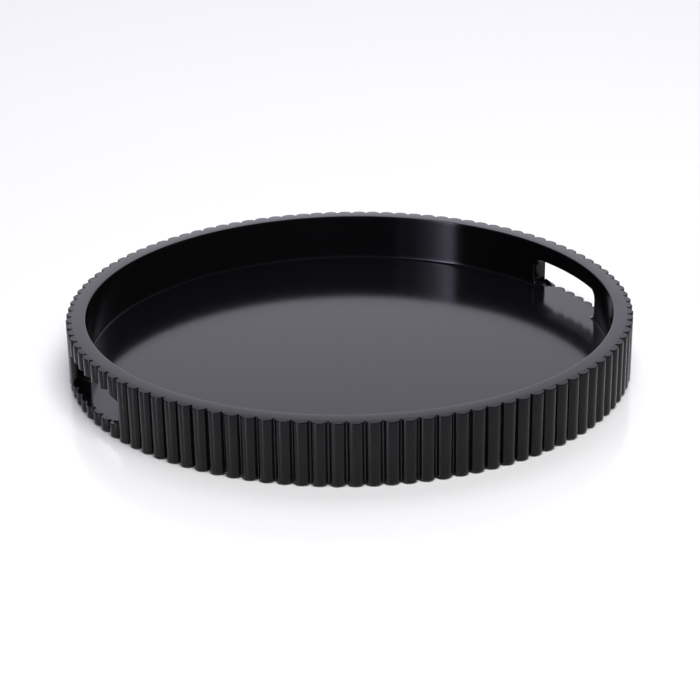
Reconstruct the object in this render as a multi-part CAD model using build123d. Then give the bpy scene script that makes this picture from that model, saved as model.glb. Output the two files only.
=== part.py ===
from build123d import *

import os
from math import asin, degrees, sqrt

# Round serving tray in lacquered board, with a reeded wall and two hand openings.
# All lengths are in millimetres and angles in degrees. Z is up, the origin is the centre of the
# surface that the tray stands on, and the hand openings face +X and -X.
#
# The tray is a stack of flat boards: a round base panel that is also the tray's floor, two layers
# of curved wall pieces, and a closed ring on top that bridges the hand openings. Screws driven up
# from below hold the stack, a felt liner hides them, and narrow reeds are glued round the outside.

# ---- Driving dimensions ----
OUTER_DIAMETER = 457.2  # over the crowns of the reeds, 18 in
OVERALL_HEIGHT = 50.8  # 2 in

FELT_THICKNESS = 1.0
FELT_MARGIN = 2.0  # bare rim of the base panel outside the felt

BASE_THICKNESS = 10.0
WALL_LAYER_THICKNESS = 12.0
WALL_LAYERS = 2
WALL_THICKNESS = 11.0  # from the well to the back of the reeds
RIM_ROUND = 1.2  # round-over along the inner edge of the rim

OPENING_LENGTH = 93.6
OPENING_HEIGHT = 25.0
OPENING_LOWER_CORNER = 7.0  # radius
OPENING_UPPER_CORNER = 8.0

REEDS_PER_SIDE = 47  # full-height reeds on the front, and again on the rear
REEDS_OVER_OPENING = 7  # reeds that each opening interrupts
REED_WIDTH = 12.0
REED_DEPTH = 4.7
REED_CROWN_RADIUS = 6.8
REED_SHOULDER_RADIUS = 1.5
REED_END_ROUND = 1.2
REEDS_PER_NODE = 6

SCREWS_PER_WALL = 6
SCREW_SPREAD = 24.0  # angle between two screws
SCREW_LENGTH = 30.0
SCREW_SHANK_RADIUS = 1.75
SCREW_HEAD_RADIUS = 3.5
SCREW_HEAD_LIP = 0.3  # straight edge of the countersunk head
SCREW_TIP = 3.0
SCREW_HOLE_RADIUS = 2.0  # clearance hole through the base panel
RECESS_LENGTH = 4.2
RECESS_WIDTH = 0.8
RECESS_DEPTH = 1.4

# ---- Worked-out sizes ----
TIP_RADIUS = OUTER_DIAMETER / 2
WALL_OUTER_RADIUS = TIP_RADIUS - REED_DEPTH
WALL_INNER_RADIUS = WALL_OUTER_RADIUS - WALL_THICKNESS
WALL_MID_RADIUS = (WALL_OUTER_RADIUS + WALL_INNER_RADIUS) / 2

UNDERSIDE_Z = FELT_THICKNESS
FLOOR_Z = UNDERSIDE_Z + BASE_THICKNESS
RING_Z = FLOOR_Z + WALL_LAYERS * WALL_LAYER_THICKNESS

OPENING_END_ANGLE = degrees(asin(OPENING_LENGTH / 2 / WALL_OUTER_RADIUS))
WHOLE_REED_PITCH = (180 - 2 * OPENING_END_ANGLE) / REEDS_PER_SIDE
SHORT_REED_PITCH = 2 * OPENING_END_ANGLE / REEDS_OVER_OPENING


def ring(bottom, top):
    """A whole ring of wall between two heights."""
    outline = Circle(WALL_OUTER_RADIUS) - Circle(WALL_INNER_RADIUS)
    return extrude(Plane.XY.offset(bottom) * outline, top - bottom)


def opening_cutter():
    """A bar along X with rounded corners, which cuts both hand openings at once."""
    outline = Rectangle(OPENING_LENGTH, OPENING_HEIGHT)
    outline = fillet(outline.vertices().group_by(Axis.Y)[0], OPENING_LOWER_CORNER)
    outline = fillet(outline.vertices().group_by(Axis.Y)[-1], OPENING_UPPER_CORNER)
    middle = Plane.YZ * Pos(0, FLOOR_Z + OPENING_HEIGHT / 2)
    return extrude(middle * outline, OUTER_DIAMETER, both=True)


def turned(points):
    """A solid turned about Z from an outline of (radius, height) points."""
    return revolve(Plane.XZ * make_face(Polyline(*points, close=True)), Axis.Z)


def screw():
    """A countersunk wood screw, head down at the origin, with a cross recess and a plain shank."""
    neck = SCREW_HEAD_LIP + SCREW_HEAD_RADIUS - SCREW_SHANK_RADIUS
    body = turned([
        (0, 0),
        (SCREW_HEAD_RADIUS, 0),
        (SCREW_HEAD_RADIUS, SCREW_HEAD_LIP),
        (SCREW_SHANK_RADIUS, neck),
        (SCREW_SHANK_RADIUS, SCREW_LENGTH - SCREW_TIP),
        (0, SCREW_LENGTH),
    ])
    slot = Box(RECESS_LENGTH, RECESS_WIDTH, 2 * RECESS_DEPTH)
    return body - slot - Rot(0, 0, 90) * slot


def base_hole():
    """The countersunk hole that a screw passes through in the base panel."""
    neck = SCREW_HEAD_LIP + SCREW_HEAD_RADIUS - SCREW_HOLE_RADIUS
    return turned([
        (0, 0),
        (SCREW_HEAD_RADIUS, 0),
        (SCREW_HEAD_RADIUS, SCREW_HEAD_LIP),
        (SCREW_HOLE_RADIUS, neck),
        (SCREW_HOLE_RADIUS, BASE_THICKNESS),
        (0, BASE_THICKNESS),
    ])


def pilot_hole():
    """The blind hole that a screw's shank fills in the wall."""
    depth = SCREW_LENGTH - BASE_THICKNESS
    return Pos(0, 0, BASE_THICKNESS + depth / 2) * Cylinder(SCREW_SHANK_RADIUS, depth)


def at_screws(shape):
    """A copy of a shape at every screw, under the middle of the rear and front wall pieces."""
    half_spread = (SCREWS_PER_WALL - 1) / 2 * SCREW_SPREAD
    angles = [
        side + n * SCREW_SPREAD - half_spread
        for side in (90, 270)
        for n in range(SCREWS_PER_WALL)
    ]
    return [Rot(0, 0, angle) * Pos(WALL_MID_RADIUS, 0, UNDERSIDE_Z) * shape for angle in angles]


def base_panel():
    """The round board that is the tray's floor and carries the wall."""
    board = Plane.XY.offset(UNDERSIDE_Z) * Circle(WALL_OUTER_RADIUS)
    return extrude(board, BASE_THICKNESS) - at_screws(base_hole())


def wall_layer(number, cutter):
    """The front and rear pieces of one layer of wall, counted up from the floor."""
    bottom = FLOOR_Z + number * WALL_LAYER_THICKNESS
    layer = ring(bottom, bottom + WALL_LAYER_THICKNESS) - cutter - at_screws(pilot_hole())
    return sorted(layer.solids(), key=lambda piece: piece.center().Y)


def top_ring(cutter):
    """The closed ring that is the rim, and the hand grips where it bridges the openings."""
    whole = ring(RING_Z, OVERALL_HEIGHT)
    inner_edge = whole.edges().group_by(Axis.Z)[-1].sort_by(SortBy.RADIUS)[0]
    return fillet(inner_edge, RIM_ROUND) - cutter


def reed_section():
    """Plan of the reed on +X: a back that hugs the wall, short flanks and a half-round crown."""
    half = REED_WIDTH / 2
    foot_x = sqrt(WALL_OUTER_RADIUS**2 - half**2)
    corner_x = TIP_RADIUS - REED_CROWN_RADIUS + sqrt(REED_CROWN_RADIUS**2 - half**2)
    outline = make_face([
        ThreePointArc((foot_x, -half), (WALL_OUTER_RADIUS, 0), (foot_x, half)),
        Line((foot_x, half), (corner_x, half)),
        ThreePointArc((corner_x, half), (TIP_RADIUS, 0), (corner_x, -half)),
        Line((corner_x, -half), (foot_x, -half)),
    ])
    return fillet(outline.vertices().group_by(Axis.X)[-1], REED_SHOULDER_RADIUS)


def whole_reed():
    """The full-height reed on +X, with both ends rounded over except against the wall."""
    bar = extrude(Plane.XY.offset(UNDERSIDE_Z) * reed_section(), OVERALL_HEIGHT - UNDERSIDE_Z)
    by_height = bar.edges().group_by(Axis.Z)
    ends = by_height[0] + by_height[-1]
    back = [e for e in ends if e.geom_type == GeomType.CIRCLE and e.radius > TIP_RADIUS / 2]
    return fillet([e for e in ends if e not in back], REED_END_ROUND)


def save(name, *solids):
    """Writes one node, which is one piece or a group of like pieces."""
    shape = solids[0] if len(solids) == 1 else Compound(children=list(solids))
    shape.label = name
    export_step(shape, f"parts/{name}.step")


def save_wall(cutter):
    """Writes the wall layers and the ring that closes them."""
    for number, level in enumerate(("lower", "upper")):
        front, rear = wall_layer(number, cutter)
        save(f"front_wall_{level}", front)
        save(f"rear_wall_{level}", rear)
    save("top_ring", top_ring(cutter))


def reed_row(reed, middle, count, pitch):
    """A row of reeds evenly spread about an angle, counted anticlockwise."""
    return [Rot(0, 0, middle + (n - (count - 1) / 2) * pitch) * reed for n in range(count)]


def save_whole_reeds(reed):
    """Writes the full-height reeds of each side in groups of neighbours."""
    for side, middle in (("rear", 90), ("front", 270)):
        reeds = reed_row(reed, middle, REEDS_PER_SIDE, WHOLE_REED_PITCH)
        for group, start in enumerate(range(0, REEDS_PER_SIDE, REEDS_PER_NODE), 1):
            save(f"{side}_reeds_{group}", *reeds[start:start + REEDS_PER_NODE])


def save_short_reeds(reed, cutter):
    """Writes the stubs that each opening leaves below and above it."""
    for side, middle in (("right", 0), ("left", 180)):
        below, above = [], []
        for whole in reed_row(reed, middle, REEDS_OVER_OPENING, SHORT_REED_PITCH):
            low, high = sorted((whole - cutter).solids(), key=lambda piece: piece.center().Z)
            below.append(low)
            above.append(high)
        save(f"{side}_grip_lower_reeds", *below)
        save(f"{side}_grip_upper_reeds", *above)


os.makedirs("parts", exist_ok=True)

the_cutter = opening_cutter()
the_reed = whole_reed()

felt_radius = WALL_OUTER_RADIUS - FELT_MARGIN
save("felt_liner", extrude(Circle(felt_radius), FELT_THICKNESS))
save("base_panel", base_panel())
save("base_screws", *at_screws(screw()))
save_wall(the_cutter)
save_whole_reeds(the_reed)
save_short_reeds(the_reed, the_cutter)
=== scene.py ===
import math
import random
from collections import namedtuple

import bmesh
import bpy
import numpy as np
from mathutils import Matrix, Vector


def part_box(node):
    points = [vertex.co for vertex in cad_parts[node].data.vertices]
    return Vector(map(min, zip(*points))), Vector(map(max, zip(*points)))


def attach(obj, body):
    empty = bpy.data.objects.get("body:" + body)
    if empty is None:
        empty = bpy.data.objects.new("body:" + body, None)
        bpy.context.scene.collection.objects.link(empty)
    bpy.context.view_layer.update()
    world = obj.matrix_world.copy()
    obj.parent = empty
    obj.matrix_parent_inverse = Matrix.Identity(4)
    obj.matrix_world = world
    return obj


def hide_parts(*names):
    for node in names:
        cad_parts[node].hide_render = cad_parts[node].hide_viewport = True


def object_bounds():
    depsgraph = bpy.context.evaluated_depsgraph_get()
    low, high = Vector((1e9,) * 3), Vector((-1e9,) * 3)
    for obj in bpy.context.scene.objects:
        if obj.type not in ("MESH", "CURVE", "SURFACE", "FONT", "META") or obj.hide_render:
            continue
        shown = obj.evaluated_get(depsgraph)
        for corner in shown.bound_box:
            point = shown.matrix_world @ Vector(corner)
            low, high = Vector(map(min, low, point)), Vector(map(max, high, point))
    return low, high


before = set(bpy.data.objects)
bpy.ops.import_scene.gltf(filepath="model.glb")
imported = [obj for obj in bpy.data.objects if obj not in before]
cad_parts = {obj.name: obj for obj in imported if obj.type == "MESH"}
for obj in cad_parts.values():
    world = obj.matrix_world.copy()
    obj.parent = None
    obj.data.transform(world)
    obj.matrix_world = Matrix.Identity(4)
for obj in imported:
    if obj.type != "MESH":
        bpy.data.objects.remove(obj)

# A round serving tray in gloss black lacquer: a level floor, an upright wall faced with reeds, a
# smooth rim and two hand openings. All lengths are in metres, and angles are in radians where
# nothing says degrees. The tray stands on Z = 0 with its middle on the Z axis, and its hand
# openings face +X and -X.

cad_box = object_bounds()


# ---- Sizes that the frame gives ----
def radii(node):
    """Least and greatest distance of a CAD node's corners from the Z axis."""
    corners = np.array([v.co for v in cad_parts[node].data.vertices])
    distances = np.hypot(corners[:, 0], corners[:, 1])
    return float(distances.min()), float(distances.max())


WALL_INNER_RADIUS, WALL_OUTER_RADIUS = radii("top_ring")
TIP_RADIUS = cad_box[1].x
RIM_Z = cad_box[1].z
UNDERSIDE_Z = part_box("base_panel")[0].z
FLOOR_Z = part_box("base_panel")[1].z
FELT_RADIUS = radii("felt_liner")[1]

# ---- Sizes that the CAD model has too ----
OPENING_LENGTH = 0.0936
OPENING_HEIGHT = 0.025
LOWER_CORNER = 0.007
UPPER_CORNER = 0.008
REEDS_PER_SIDE = 47
REEDS_OVER_OPENING = 7
REEDS_PER_NODE = 6
REED_HALF_WIDTH = 0.006
REED_CROWN_RADIUS = 0.0068

# ---- Small shapes that the lacquer and the maker's hand add ----
COVE = 0.0018  # fillet of lacquer where the wall meets the floor
RIM_INNER_ROUND = 0.0009
RIM_OUTER_ROUND = 0.00015
RIM_CROWN = 4.2  # the rim falls by this times the square of the distance from its crown line
RIM_CROWN_LINE = 0.004  # from the wall's inner face
OPENING_INNER_ROUND = 0.0009
OPENING_OUTER_ROUND = 0.0003
REED_SHOULDER_RADIUS = 0.0016  # a little more than in CAD
REED_TOP_ROUND = 0.0005
REED_FOOT_ROUND = 0.0013
REED_CUT_ROUND = 0.0005  # where a hand opening cuts a reed
REED_WANDER = 0.00022  # how far a reed was set from its even place
REED_WIDTH_CHANGE = 0.0002
REED_DEPTH_CHANGE = 0.0002
REED_LEAN = 0.0045  # slope
FELT_FRAY = 0.0005  # how far the felt's cut edge wanders inwards
FELT_WORN = 0.0004  # round of its edge

# ---- Mesh density ----
COLUMNS = 432  # round the whole wall
COVE_STEPS = 4
LOWER_STEPS = 6  # in an opening's lower corner, above the cove
SIDE_STEPS = 3  # up an opening's straight side
CORNER_STEPS = 8  # in its upper corner
TOP_STEPS = 14  # along half of its straight top
EDGE_STEPS = 4  # over the round of its edge
PATCH_STEPS = 4  # from its edge to the even grid round it
PATCH_COLUMNS = TOP_STEPS + CORNER_STEPS // 2  # on each side of an opening's middle
PATCH_ANGLE = PATCH_COLUMNS * 2 * math.pi / COLUMNS
PATCH_TOP_Z = 0.042  # where the patches end, between the openings' tops and the rim
RIM_ROUND_STEPS = 6
RIM_STEPS = 10  # across the rim
RIM_SIDE_STEPS = 3  # from the patches up to the rim, on each face
SHOULDER_STEPS = 4
CROWN_STEPS = 9  # over half of a reed's crown
REED_END_STEPS = 4  # over the round of a reed's end
REED_CUT_STEPS = 8  # across an end that a hand opening cuts
FELT_STEPS = 6
WELD = 1e-6  # points nearer than this are one
SHARP_ANGLE = math.radians(40)  # edges that turn by more are shaded sharp
LEVEL = 0.99  # upright part of a normal from which a face counts as level

# ---- Worked-out sizes ----
OPENING_END_ANGLE = math.asin(OPENING_LENGTH / 2 / WALL_OUTER_RADIUS)
WHOLE_REED_PITCH = (math.pi - 2 * OPENING_END_ANGLE) / REEDS_PER_SIDE
SHORT_REED_PITCH = 2 * OPENING_END_ANGLE / REEDS_OVER_OPENING
REED_DEPTH = TIP_RADIUS - WALL_OUTER_RADIUS
LOWER_Y = OPENING_LENGTH / 2 - LOWER_CORNER
UPPER_Y = OPENING_LENGTH / 2 - UPPER_CORNER
OPENING_TOP_Z = FLOOR_Z + OPENING_HEIGHT
MIDDLE_Z = RIM_Z / 2
QUARTER = math.pi / 2

COLUMN_ANGLES = np.arange(COLUMNS) * 2 * math.pi / COLUMNS
COVE_LEVELS = COVE * (1 - np.cos(np.linspace(0, QUARTER, COVE_STEPS + 1)))
SIDE_ROWS = LOWER_STEPS + SIDE_STEPS + CORNER_STEPS // 2
WALL_LEVELS = FLOOR_Z + np.concatenate([
    COVE_LEVELS,
    np.linspace(COVE, PATCH_TOP_Z - FLOOR_Z, SIDE_ROWS + 1)[1:],
])


# ---- Meshes ----
class Skin:
    """Patches of points, which are welded into closed meshes of one piece."""

    def __init__(self):
        self.points = []
        self.faces = []

    def patch(self, rows, closed=False):
        """Adds rows of points, joined by four-sided faces. Closed rows run round to their start."""
        count = len(rows[0])
        first = len(self.points)
        for row in rows:
            self.points.extend(tuple(map(float, point)) for point in row)
        for row in range(len(rows) - 1):
            for column in range(count if closed else count - 1):
                a = first + row * count + column
                b = first + row * count + (column + 1) % count
                self.faces.append((a, b, b + count, a + count))

    def piece(self, name, material, slot, *nodes):
        """Makes the piece, which rides on the tray and stands for the CAD nodes given."""
        mesh = bpy.data.meshes.new(name)
        mesh.from_pydata(self.points, [], self.faces)
        build = bmesh.new()
        build.from_mesh(mesh)
        bmesh.ops.remove_doubles(build, verts=build.verts, dist=WELD)
        bmesh.ops.holes_fill(build, edges=build.edges, sides=0)
        bmesh.ops.recalc_face_normals(build, faces=build.faces)
        build.to_mesh(mesh)
        build.free()
        mesh.polygons.foreach_set("use_smooth", [True] * len(mesh.polygons))
        mesh.set_sharp_from_angle(angle=SHARP_ANGLE)
        mesh.materials.append(material)
        piece = bpy.data.objects.new(name, mesh)
        bpy.context.scene.collection.objects.link(piece)
        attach(piece, "root")
        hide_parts(*nodes)
        return piece


def polar(radius, angle, z):
    """Points from distances, angles and heights, any of which may be one number for all."""
    radius, angle, z = np.broadcast_arrays(radius, angle, z)
    return np.stack([radius * np.cos(angle), radius * np.sin(angle), z], axis=-1)


def turned(skin, profile):
    """Adds a profile of (radius, height) points turned once round Z."""
    skin.patch([polar(radius, COLUMN_ANGLES, z) for radius, z in profile], closed=True)


def rim_drop(radius):
    """How far the rim's gentle crown has fallen at a distance from the axis."""
    return RIM_CROWN * (radius - WALL_INNER_RADIUS - RIM_CROWN_LINE) ** 2


# ---- The wall, its rim and the hand openings ----
def arch(offset):
    """Half of an opening's outline, grown by an offset, from the floor to its top's middle."""
    low, high = LOWER_CORNER + offset, UPPER_CORNER + offset
    low_z = FLOOR_Z + LOWER_CORNER
    high_z = OPENING_TOP_Z - UPPER_CORNER
    toe = np.arccos((LOWER_CORNER - COVE_LEVELS) / low)
    lower = np.concatenate([toe, np.linspace(toe[-1], QUARTER, LOWER_STEPS + 1)[1:]])
    upper = np.linspace(0, QUARTER, CORNER_STEPS + 1)[1:]
    rows = [(LOWER_Y + low * math.sin(a), low_z - low * math.cos(a)) for a in lower]
    rows += [(LOWER_Y + low, z) for z in np.linspace(low_z, high_z, SIDE_STEPS + 1)[1:]]
    rows += [(UPPER_Y + high * math.cos(a), high_z + high * math.sin(a)) for a in upper]
    rows += [(y, high_z + high) for y in np.linspace(UPPER_Y, 0, TOP_STEPS + 1)[1:]]
    return np.array(rows)


def arch_frame():
    """As many points on the edge of the even grid, as (angle, height)."""
    rows = [(PATCH_ANGLE, z) for z in WALL_LEVELS]
    rows += [(a, PATCH_TOP_Z) for a in np.linspace(PATCH_ANGLE, 0, PATCH_COLUMNS + 1)[1:]]
    return np.array(rows)


def both_halves(half):
    """A half outline and its mirror image, as one row of points."""
    return np.vstack([half, half[-2::-1] * (-1, 1)])


def cove_inset(z):
    """How far the cove stands in front of the wall's inner face at a height."""
    below = np.clip(COVE - (z - FLOOR_Z), 0, COVE)
    return COVE - np.sqrt(COVE**2 - below**2)


def face_rows(radius, offset, inset):
    """Rows of points on one face of the wall, from an opening's edge to the even grid."""
    y, z = both_halves(arch(offset)).T
    near = np.stack([np.arcsin(y / radius), z], axis=1)
    far = both_halves(arch_frame())
    rows = []
    for share in np.linspace(0, 1, PATCH_STEPS + 1):
        angle, z = (near + share * (far - near)).T
        rows.append(polar(radius - inset(z), angle, z))
    return rows


def edge_rows(radius, size, into, inset):
    """Rows of points that round an opening's edge, from the wall's face into its thickness."""
    rows = []
    for turn in np.linspace(0, QUARTER, EDGE_STEPS + 1):
        y, z = both_halves(arch(size * (1 - math.sin(turn)))).T
        depth = radius + into * size * (1 - math.cos(turn)) - inset(z) * math.cos(turn)
        rows.append(np.stack([np.sqrt(depth**2 - y**2), y, z], axis=1))
    return rows


def no_inset(z):
    return 0 * z


def opening_skin(skin, side):
    """Adds the wall round one hand opening. Side is 1 at +X and -1 at -X."""
    rows = face_rows(WALL_INNER_RADIUS, OPENING_INNER_ROUND, cove_inset)[::-1]
    rows += edge_rows(WALL_INNER_RADIUS, OPENING_INNER_ROUND, 1, cove_inset)[1:]
    rows += edge_rows(WALL_OUTER_RADIUS, OPENING_OUTER_ROUND, -1, no_inset)[::-1]
    rows += face_rows(WALL_OUTER_RADIUS, OPENING_OUTER_ROUND, no_inset)[1:]
    skin.patch([row * (side, side, 1) for row in rows])


def rim_profile():
    """The wall's section above the openings, from its inner face over the rim to its outer face."""
    turns = np.linspace(0, QUARTER, RIM_ROUND_STEPS + 1)
    inner = WALL_INNER_RADIUS + RIM_INNER_ROUND
    outer = WALL_OUTER_RADIUS - RIM_OUTER_ROUND
    inner_z = RIM_Z - rim_drop(inner) - RIM_INNER_ROUND
    outer_z = RIM_Z - rim_drop(outer) - RIM_OUTER_ROUND
    inner_side = np.linspace(PATCH_TOP_Z, inner_z, RIM_SIDE_STEPS + 1)
    outer_side = np.linspace(outer_z, PATCH_TOP_Z, RIM_SIDE_STEPS + 1)
    across = np.linspace(inner, outer, RIM_STEPS + 1)[1:-1]
    across = np.append(across, outer - RIM_OUTER_ROUND)
    profile = [(WALL_INNER_RADIUS, z) for z in inner_side[:-1]]
    profile += [
        (inner - RIM_INNER_ROUND * math.cos(a), inner_z + RIM_INNER_ROUND * math.sin(a))
        for a in turns
    ]
    profile += [(r, RIM_Z - rim_drop(r)) for r in across]
    profile += [
        (outer + RIM_OUTER_ROUND * math.sin(a), outer_z + RIM_OUTER_ROUND * math.cos(a))
        for a in turns[::2]
    ]
    profile += [(WALL_OUTER_RADIUS, z) for z in outer_side[1:]]
    return profile


def wall():
    """The wall and rim as one lacquered surface over all the boards that it is made of."""
    skin = Skin()
    turned(skin, rim_profile())
    reach = QUARTER - PATCH_ANGLE
    between = np.linspace(-reach, reach, COLUMNS // 2 - 2 * PATCH_COLUMNS + 1)
    for side in (1, -1):
        opening_skin(skin, side)
        angles = side * QUARTER + between
        skin.patch([polar(WALL_INNER_RADIUS - cove_inset(z), angles, z) for z in WALL_LEVELS])
        skin.patch([polar(WALL_OUTER_RADIUS, angles, z) for z in WALL_LEVELS])
    boards = [f"{side}_wall_{level}" for side in ("front", "rear") for level in ("lower", "upper")]
    skin.piece("lacquered_wall", rim_lacquer, "black_lacquer", "top_ring", *boards)


# ---- The reeds ----
Reed = namedtuple("Reed", "angle half_width depth lean")


def half_section(reed, inset):
    """Half of a reed's outline from its back to its crown, as (out from the axis, across)."""
    half = reed.half_width - inset
    shoulder = REED_SHOULDER_RADIUS - inset
    crown = REED_CROWN_RADIUS - inset
    middle = WALL_OUTER_RADIUS + reed.depth - REED_CROWN_RADIUS
    shoulder_y = reed.half_width - REED_SHOULDER_RADIUS
    shoulder_x = middle + math.sqrt((REED_CROWN_RADIUS - REED_SHOULDER_RADIUS) ** 2 - shoulder_y**2)
    meet = math.atan2(shoulder_x - middle, shoulder_y)
    points = [(math.sqrt(WALL_OUTER_RADIUS**2 - reed.half_width**2), half)]
    for a in np.linspace(0, meet, SHOULDER_STEPS + 1):
        points.append((shoulder_x + shoulder * math.sin(a), shoulder_y + shoulder * math.cos(a)))
    for a in np.linspace(meet, QUARTER, CROWN_STEPS + 1)[1:]:
        points.append((middle + crown * math.sin(a), crown * math.cos(a)))
    return np.array(points)


def stand(reed, section, z):
    """Points of a reed at its place, from (out, across) points and their heights."""
    out, across = np.moveaxis(np.asarray(section), -1, 0)
    across = across + reed.lean * (z - MIDDLE_Z)
    cosine, sine = math.cos(reed.angle), math.sin(reed.angle)
    return np.stack([out * cosine - across * sine, out * sine + across * cosine, z], axis=-1)


def reed_end(reed, surface, way, size, steps):
    """Rings of a reed's rounded end, from its side to its edge, and the rows of its flat. Surface
    gives the end's height at points, and way is 1 at a top and -1 at a foot."""
    def end_z(outline):
        return surface(stand(reed, outline, np.full(len(outline), MIDDLE_Z)))

    rings = []
    for turn in np.linspace(0, QUARTER, REED_END_STEPS + 1):
        half = half_section(reed, size * (1 - math.cos(turn)))
        outline = np.vstack([half, half[-2::-1] * (1, -1)])
        rings.append(stand(reed, outline, end_z(outline) - way * size * (1 - math.sin(turn))))
    shares = np.linspace(1, -1, steps + 1)[:, None]
    rows = []
    for out, across in half_section(reed, size):
        row = np.hstack([np.full_like(shares, out), shares * across])
        rows.append(stand(reed, row, end_z(row)))
    return rings, rows


def add_reed(skin, reed, foot, top):
    """Adds one reed between a foot and a top, each given as (surface, size of round, steps)."""
    foot_rings, foot_flat = reed_end(reed, foot[0], -1, *foot[1:])
    top_rings, top_flat = reed_end(reed, top[0], 1, *top[1:])
    skin.patch(foot_rings[::-1] + top_rings, closed=True)
    skin.patch(foot_flat)
    skin.patch(top_flat)


def level_ends(reeds):
    """Shades the reeds' level ends flat, so that they read as one surface with the rim."""
    for face in reeds.data.polygons:
        face.use_smooth = abs(face.normal.z) < LEVEL


def at_underside(points):
    return np.full(len(points), UNDERSIDE_Z)


def at_rim(points):
    return RIM_Z - rim_drop(np.hypot(points[:, 0], points[:, 1]))


def corner_rise(points, corner):
    """How far an opening's corners, rounded to a radius, stand in from its floor or top."""
    past = np.clip(np.abs(points[:, 1]) - OPENING_LENGTH / 2 + corner, 0, corner)
    return corner - np.sqrt(corner**2 - past**2)


def at_opening_floor(points):
    return FLOOR_Z + corner_rise(points, LOWER_CORNER)


def at_opening_top(points):
    return OPENING_TOP_Z - corner_rise(points, UPPER_CORNER)


FOOT = (at_underside, REED_FOOT_ROUND, 1)
TOP = (at_rim, REED_TOP_ROUND, 1)
CUT_ABOVE_FLOOR = (at_opening_floor, REED_CUT_ROUND, REED_CUT_STEPS)
CUT_BELOW_GRIP = (at_opening_top, REED_CUT_ROUND, REED_CUT_STEPS)


def reed_row(middle, count, pitch, seed):
    """Hand-set reeds about an angle, counted anticlockwise, each a little off its even place."""
    chance = random.Random(seed)
    reeds = []
    for number in range(count):
        even = middle + (number - (count - 1) / 2) * pitch
        reeds.append(Reed(
            even + chance.uniform(-1, 1) * REED_WANDER / WALL_OUTER_RADIUS,
            REED_HALF_WIDTH - chance.uniform(0, 1) * REED_WIDTH_CHANGE,
            REED_DEPTH - chance.uniform(0, 1) * REED_DEPTH_CHANGE,
            chance.uniform(-1, 1) * REED_LEAN,
        ))
    return reeds


def whole_reeds(side, reeds):
    """The full-height reeds of one side, in the same groups as the CAD nodes."""
    for group, start in enumerate(range(0, len(reeds), REEDS_PER_NODE), 1):
        skin = Skin()
        for reed in reeds[start:start + REEDS_PER_NODE]:
            add_reed(skin, reed, FOOT, TOP)
        node = f"{side}_reeds_{group}"
        level_ends(skin.piece(f"{node}_lacquered", reed_lacquer, "black_lacquer", node))


def short_reeds(side, reeds):
    """The stubs of reed below and above one hand opening."""
    for level, foot, top in (("lower", FOOT, CUT_ABOVE_FLOOR), ("upper", CUT_BELOW_GRIP, TOP)):
        skin = Skin()
        for reed in reeds:
            add_reed(skin, reed, foot, top)
        node = f"{side}_grip_{level}_reeds"
        level_ends(skin.piece(f"{node}_lacquered", reed_lacquer, "black_lacquer", node))


# ---- The felt liner ----
def felt():
    """A soft disc under the base, whose cut edge is worn round and a little frayed."""
    fray = np.random.default_rng(seed=5).uniform(0, FELT_FRAY, COLUMNS)
    edge = FELT_RADIUS - (fray + np.roll(fray, 1)) / 2
    rows = [polar(FELT_WORN, COLUMN_ANGLES, 0)]
    for turn in np.linspace(0, 2 * QUARTER, FELT_STEPS + 1):
        z = UNDERSIDE_Z * (1 - math.cos(turn)) / 2
        rows.append(polar(edge - FELT_WORN * (1 - math.sin(turn)), COLUMN_ANGLES, z))
    rows.append(polar(FELT_WORN, COLUMN_ANGLES, UNDERSIDE_Z))
    skin = Skin()
    skin.patch(rows, closed=True)
    liner = skin.piece("pressed_felt_liner", felt_cloth(), "black_felt", "felt_liner")


# ---- Materials ----
def new_material(name):
    """A material with a Principled shader: its nodes, links and shader."""
    material = bpy.data.materials.new(name)
    material.use_nodes = True
    nodes, links = material.node_tree.nodes, material.node_tree.links
    return material, nodes, links, nodes["Principled BSDF"]


def noise(nodes, links, scale, detail, stretch=(1, 1, 1)):
    """Noise in object space, finer for a larger scale, in waves per metre."""
    coordinates = nodes.new("ShaderNodeTexCoord")
    mapping = nodes.new("ShaderNodeMapping")
    mapping.inputs["Scale"].default_value = stretch
    texture = nodes.new("ShaderNodeTexNoise")
    texture.inputs["Scale"].default_value = scale
    texture.inputs["Detail"].default_value = detail
    links.new(coordinates.outputs["Object"], mapping.inputs["Vector"])
    links.new(mapping.outputs["Vector"], texture.inputs["Vector"])
    return texture.outputs["Fac"]


def ramp(nodes, links, value, low, high):
    """A value spread over a range."""
    spread = nodes.new("ShaderNodeMapRange")
    spread.inputs["To Min"].default_value = low
    spread.inputs["To Max"].default_value = high
    links.new(value, spread.inputs["Value"])
    return spread.outputs["Result"]


def add_bump(nodes, links, height, distance, below=None):
    """A bump of a height in metres, over another bump if one is given."""
    bump = nodes.new("ShaderNodeBump")
    bump.inputs["Distance"].default_value = distance
    links.new(height, bump.inputs["Height"])
    if below is not None:
        links.new(below, bump.inputs["Normal"])
    return bump.outputs["Normal"]


def lacquer(name, tone, peel, ior, grain=0, stretch=(1, 1, 1)):
    """Gloss black lacquer. Tone is how much light its black gives back, peel the height of its
    orange peel, and grain that of the board's grain under it."""
    material, nodes, links, shader = new_material(name)
    shader.inputs["Base Color"].default_value = (tone, 0.97 * tone, 1.15 * tone, 1)
    shader.inputs["IOR"].default_value = ior
    haze = noise(nodes, links, scale=90, detail=3)
    links.new(ramp(nodes, links, haze, low=0.1, high=0.15), shader.inputs["Roughness"])
    normal = add_bump(nodes, links, noise(nodes, links, scale=900, detail=2), peel)
    if grain:
        streaks = noise(nodes, links, scale=700, detail=2, stretch=stretch)
        normal = add_bump(nodes, links, streaks, grain, normal)
    links.new(normal, shader.inputs["Normal"])
    return material


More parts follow.
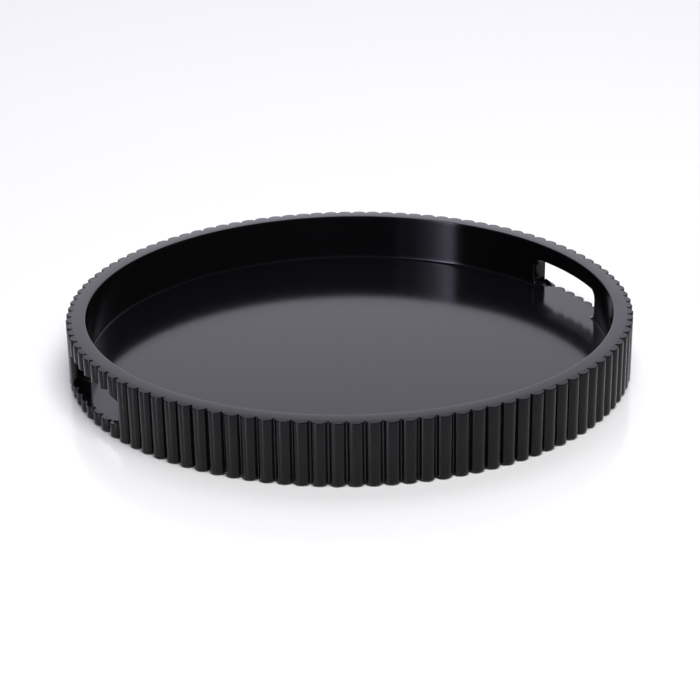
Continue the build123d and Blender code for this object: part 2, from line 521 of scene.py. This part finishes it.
def zinc():
    """Bright zinc plating with fine turning marks."""
    material, nodes, links, shader = new_material("zinc_plating")
    shader.inputs["Base Color"].default_value = (0.62, 0.6, 0.55, 1)
    shader.inputs["Metallic"].default_value = 1
    haze = noise(nodes, links, scale=800, detail=3)
    links.new(ramp(nodes, links, haze, low=0.25, high=0.45), shader.inputs["Roughness"])
    marks = noise(nodes, links, scale=3000, detail=1, stretch=(1, 1, 6))
    links.new(add_bump(nodes, links, marks, distance=0.00002), shader.inputs["Normal"])
    return material


def felt_cloth():
    """Black pressed felt: matted fibres that catch the light at a low angle."""
    material, nodes, links, shader = new_material("black_felt")
    fibres = noise(nodes, links, scale=2200, detail=6)
    tone = nodes.new("ShaderNodeMix")
    tone.data_type = "RGBA"
    tone.inputs["A"].default_value = (0.008, 0.008, 0.009, 1)
    tone.inputs["B"].default_value = (0.04, 0.04, 0.043, 1)
    links.new(fibres, tone.inputs["Factor"])
    links.new(tone.outputs["Result"], shader.inputs["Base Color"])
    shader.inputs["Roughness"].default_value = 0.95
    shader.inputs["Sheen Weight"].default_value = 0.5
    shader.inputs["Sheen Roughness"].default_value = 0.4
    links.new(add_bump(nodes, links, fibres, distance=0.0002), shader.inputs["Normal"])
    return material


# The tray has one black lacquer all over. These three copies differ in tone and IOR as painted
# shade and light: the floor is darkest, the wall and rim lie between, and the reeds are lightest,
# each set to how bright its part reads.
floor_lacquer = lacquer("floor_lacquer", tone=0.0035, peel=0.000002, ior=1.36)
rim_lacquer = lacquer("rim_lacquer", tone=0.0045, peel=0.000007, ior=1.35)
reed_lacquer = lacquer(
    "reed_lacquer", tone=0.005, peel=0.000004, ior=1.29,
    grain=0.000004, stretch=(1, 1, 0.04),
)

wall()
for seed, (side, middle) in enumerate((("rear", QUARTER), ("front", -QUARTER)), 1):
    whole_reeds(side, reed_row(middle, REEDS_PER_SIDE, WHOLE_REED_PITCH, seed))
for seed, (side, middle) in enumerate((("right", 0), ("left", 2 * QUARTER)), 3):
    short_reeds(side, reed_row(middle, REEDS_OVER_OPENING, SHORT_REED_PITCH, seed))
felt()

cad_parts["base_panel"].data.materials[0] = floor_lacquer
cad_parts["base_screws"].data.materials[0] = zinc()


# ---- Studio ----
# The studio has its own frame, with the camera on the tray's -Y side and its right along X. It is
# turned about Z into the tray's frame by this angle, so that the openings lie as photographed.
VIEW_TURN = math.radians(-27.311)
CAMERA_PLACE = Vector((0, -1.45438, 0.63235))
CAMERA_DOWN = math.radians(23.19)
CAMERA_ROLL = math.radians(-0.839)
LENS = 99.2  # mm, as the sensor
SENSOR = 36
TABLE_REACH = 30

SKY = (  # light from the studio's sides: 0 is the camera's side and 1 the far side
    (0.4, (0.12, 0.12, 0.135)),
    (0.65, (0.14, 0.14, 0.16)),
    (0.8, (0.35, 0.345, 0.39)),
    (0.9, (0.95, 0.935, 1.06)),
    (0.94, (1.05, 1.03, 1.17)),
    (0.98, (1.29, 1.27, 1.44)),
)
SIDE_FADE = (0.35, 0.6)  # how far aside a direction points where the light starts and ends to fade
SIDE_LIGHT = 0.3  # what is left of it
WHITE = (1, 1, 1)
COOL = (1, 0.98, 1.3)
SOFTBOX_STRIPS = (  # azimuth in degrees, width and radiance: the softbox fades to one side
    (-139.3, 0.235, 16),
    (-134.4, 0.152, 9),
    (-130.2, 0.184, 4.5),
    (-125.5, 0.191, 2.5),
    (-118.2, 0.39, 0.9),
)


def make_camera():
    """The camera, which looks along the studio's +Y and down at the tray."""
    data = bpy.data.cameras.new("camera")
    data.lens = LENS
    data.sensor_width = SENSOR
    data.clip_end = 100
    camera = bpy.data.objects.new("camera", data)
    bpy.context.scene.collection.objects.link(camera)
    place = Matrix.Rotation(VIEW_TURN, 4, "Z") @ Matrix.Translation(CAMERA_PLACE)
    aim = Matrix.Rotation(QUARTER - CAMERA_DOWN, 4, "X") @ Matrix.Rotation(CAMERA_ROLL, 4, "Z")
    camera.matrix_world = place @ aim
    bpy.context.scene.camera = camera


def studio_floor():
    """A wide white glossy table top."""
    mesh = bpy.data.meshes.new("studio_floor")
    signs = ((-1, -1), (1, -1), (1, 1), (-1, 1))
    corners = [(x * TABLE_REACH, y * TABLE_REACH, 0) for x, y in signs]
    mesh.from_pydata(corners, [], [(0, 1, 2, 3)])
    material, _, _, shader = new_material("white_table")
    shader.inputs["Base Color"].default_value = (0.865, 0.86, 0.868, 1)
    shader.inputs["Roughness"].default_value = 0.16
    shader.inputs["IOR"].default_value = 1.45
    mesh.materials.append(material)
    table = bpy.data.objects.new("studio_floor", mesh)
    bpy.context.scene.collection.objects.link(table)


def soft_light(name, azimuth, elevation, distance, width, height, radiance, mirrored):
    """A rectangular light that faces the tray, at angles in degrees, with its azimuth from the
    camera's right. It is either only mirrored in the lacquer or lights only matt surfaces."""
    data = bpy.data.lights.new(name, "AREA")
    data.shape = "RECTANGLE"
    data.size = width
    data.size_y = height
    data.energy = radiance * math.pi * width * height
    data.color = COOL if mirrored else WHITE
    light = bpy.data.objects.new(name, data)
    bpy.context.scene.collection.objects.link(light)
    turn = math.radians(azimuth) + VIEW_TURN
    rise = math.radians(elevation)
    place = distance * Vector((
        math.cos(rise) * math.cos(turn),
        math.cos(rise) * math.sin(turn),
        math.sin(rise),
    ))
    light.location = place
    light.rotation_euler = place.to_track_quat("Z", "Y").to_euler()
    light.visible_camera = False
    light.visible_glossy = mirrored
    light.visible_diffuse = not mirrored


def softbox():
    """The main light, mirrored in the rear wall: strips side by side, each dimmer than the last."""
    for number, (azimuth, width, radiance) in enumerate(SOFTBOX_STRIPS, 1):
        soft_light(
            f"softbox_strip_{number}", azimuth, elevation=24, distance=2.5,
            width=width, height=1.5, radiance=radiance, mirrored=True,
        )


def fills():
    """Two lights for the table, from the camera's side and from behind the tray."""
    soft_light(
        "table_fill", azimuth=-68, elevation=63, distance=3,
        width=2, height=2, radiance=7.5, mirrored=False,
    )
    soft_light(
        "rear_fill", azimuth=90, elevation=62, distance=4,
        width=3, height=2, radiance=2.3, mirrored=False,
    )


def surroundings():
    """A pale studio, bright behind the tray, and dim at its sides and on the camera's side."""
    world = bpy.data.worlds.new("studio")
    bpy.context.scene.world = world
    world.use_nodes = True
    nodes, links = world.node_tree.nodes, world.node_tree.links
    background = nodes["Background"]
    coordinates = nodes.new("ShaderNodeTexCoord")
    turn = nodes.new("ShaderNodeMapping")
    turn.vector_type = "POINT"
    turn.inputs["Rotation"].default_value = (0, 0, -VIEW_TURN)
    split = nodes.new("ShaderNodeSeparateXYZ")
    links.new(coordinates.outputs["Generated"], turn.inputs["Vector"])
    links.new(turn.outputs["Vector"], split.inputs["Vector"])
    depth = nodes.new("ShaderNodeValToRGB")
    stops = depth.color_ramp.elements
    stops.remove(stops[1])
    stops[0].position = SKY[0][0]
    stops[0].color = (*SKY[0][1], 1)
    for place, colour in SKY[1:]:
        stops.new(place).color = (*colour, 1)
    shift = nodes.new("ShaderNodeMapRange")
    shift.inputs["From Min"].default_value = -1
    links.new(split.outputs["Y"], shift.inputs["Value"])
    links.new(shift.outputs["Result"], depth.inputs["Fac"])
    links.new(depth.outputs["Color"], background.inputs["Color"])
    aside = nodes.new("ShaderNodeMath")
    aside.operation = "ABSOLUTE"
    links.new(split.outputs["X"], aside.inputs[0])
    fade = nodes.new("ShaderNodeMapRange")
    fade.inputs["From Min"].default_value = SIDE_FADE[0]
    fade.inputs["From Max"].default_value = SIDE_FADE[1]
    fade.inputs["To Min"].default_value = 1
    fade.inputs["To Max"].default_value = SIDE_LIGHT
    links.new(aside.outputs["Value"], fade.inputs["Value"])
    links.new(fade.outputs["Result"], background.inputs["Strength"])


make_camera()
studio_floor()
surroundings()
softbox()
fills()
bpy.context.scene.view_settings.view_transform = "Standard"
